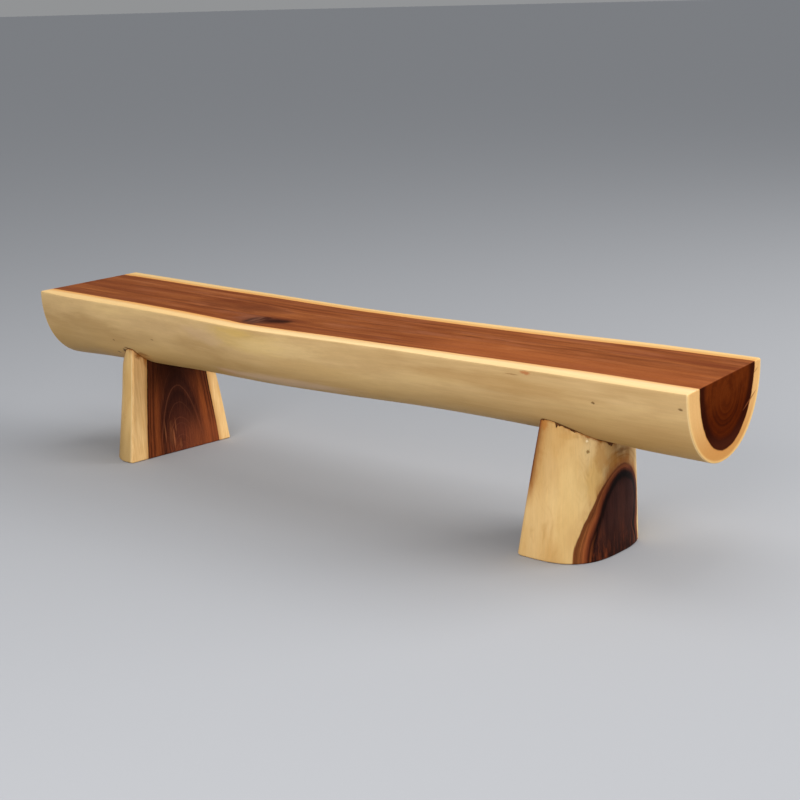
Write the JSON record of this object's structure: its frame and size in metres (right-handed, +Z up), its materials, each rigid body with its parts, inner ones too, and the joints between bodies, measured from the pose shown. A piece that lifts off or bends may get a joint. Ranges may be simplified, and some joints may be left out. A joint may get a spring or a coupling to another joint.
{
  "type": "rustic log bench",
  "caption": "Half-log bench: a long split log, sawn flat on top and round below, coped and fixed onto upright half-log legs.",
  "frame": {"origin": "on the floor, under the middle of the bench's bounding box", "axes": "+X along the seat, towards the leg with the broader easing; -Y is the front; +Z up"},
  "size_m": [2.024, 0.4067, 0.426],
  "materials": {
    "seat_wood": "solid suar wood, red-brown heartwood and cream sapwood, sanded, clear satin lacquer",
    "leg_wood": "solid suar wood, cream sapwood over dark heartwood, sanded, clear satin lacquer",
    "seam_filler": "dark glue and sawdust filler, rough",
    "dowel_wood": "plain hardwood dowel, unfinished",
    "zinc_steel": "bright zinc-plated steel"
  },
  "bodies": {
    "root": {"seat_log": "seat_wood", "leg_left": "leg_wood", "leg_right": "leg_wood", "seam_filler_left": "seam_filler", "seam_filler_right": "seam_filler", "dowel_left_front": "dowel_wood", "dowel_left_back": "dowel_wood", "dowel_right_front": "dowel_wood", "dowel_right_back": "dowel_wood", "lag_bolt_left": "zinc_steel", "lag_bolt_right": "zinc_steel", "washer_left": "zinc_steel", "washer_right": "zinc_steel"}
  },
  "joints": []
}
